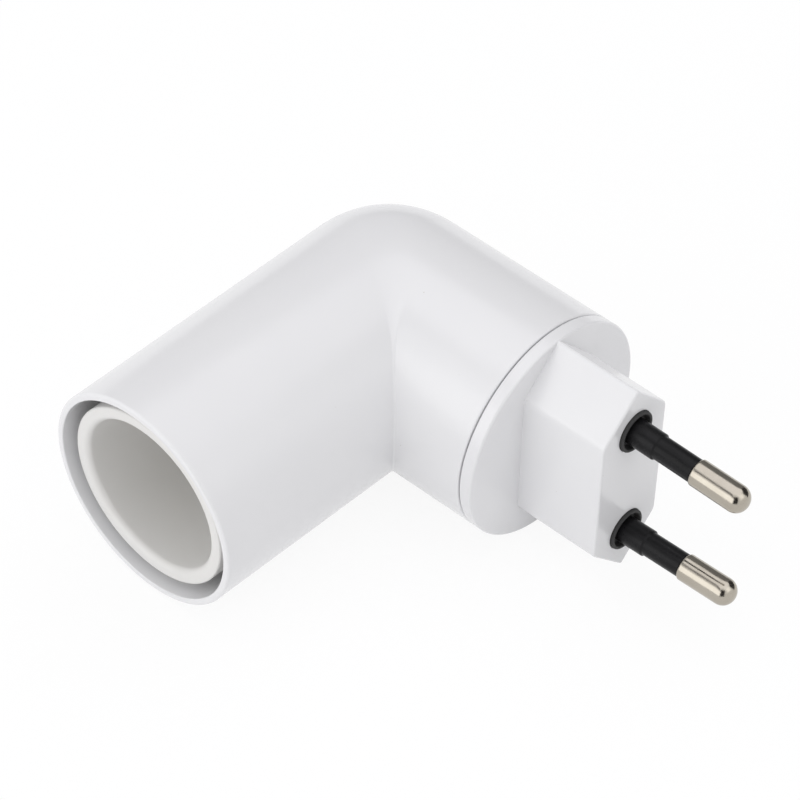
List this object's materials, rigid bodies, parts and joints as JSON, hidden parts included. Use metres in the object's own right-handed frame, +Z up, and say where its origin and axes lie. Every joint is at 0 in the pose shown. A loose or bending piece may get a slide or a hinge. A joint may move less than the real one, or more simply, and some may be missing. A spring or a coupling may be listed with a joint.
{
  "type": "plug-in lamp holder",
  "caption": "White elbow-shaped lamp holder that plugs into a wall outlet: a flat two-pin plug on one arm, a small screw lamp socket recessed in the other.",
  "frame": {"origin": "middle of the plug's front face, halfway between the two pins", "axes": "+X out of the plug along its pins, the lamp barrel points along -Y, +Z up through both pins, with the elbow lying on its side"},
  "size_m": [0.0806, 0.0652, 0.034],
  "materials": {
    "white_housing": "moulded, glossy",
    "white_cap": "moulded, satin",
    "white_tube": "moulded, satin",
    "black_carrier": "moulded, satin",
    "black_sleeve": "moulded, satin",
    "nickel_pin": "nickel plated, bright",
    "base_moulding": "moulded, matt",
    "shell_metal": "nickel plated, drawn sheet",
    "contact_metal": "bright",
    "spring_steel": "drawn wire",
    "brown_wire": "insulated, satin",
    "blue_wire": "insulated, satin",
    "screw_steel": "zinc plated"
  },
  "bodies": {
    "holder": {"contact_cup": "contact_metal", "contact_spring": "spring_steel", "elbow_housing": "white_housing", "holder_tube": "white_tube", "left_carrier_screw": "screw_steel", "live_ferrule": "contact_metal", "live_wire": "brown_wire", "lower_base_screw": "screw_steel", "lower_pin": "nickel_pin", "lower_pin_sleeve": "black_sleeve", "neutral_ferrule": "contact_metal", "neutral_wire": "blue_wire", "pin_carrier": "black_carrier", "plug_cap": "white_cap", "right_carrier_screw": "screw_steel", "screw_shell": "shell_metal", "shell_rivet": "contact_metal", "shell_strip": "contact_metal", "socket_base": "base_moulding", "upper_base_screw": "screw_steel", "upper_pin": "nickel_pin", "upper_pin_sleeve": "black_sleeve"},
    "plunger": {"contact_plunger": "contact_metal"}
  },
  "joints": [
    {"name": "contact_press", "type": "slide", "parent": "holder", "child": "plunger", "axis": [0, 1, 0], "range_m": [0, 0.0015], "stiffness_N_per_m": 800, "springref_m": -0.001, "deforming": ["contact_spring"]}
  ]
}
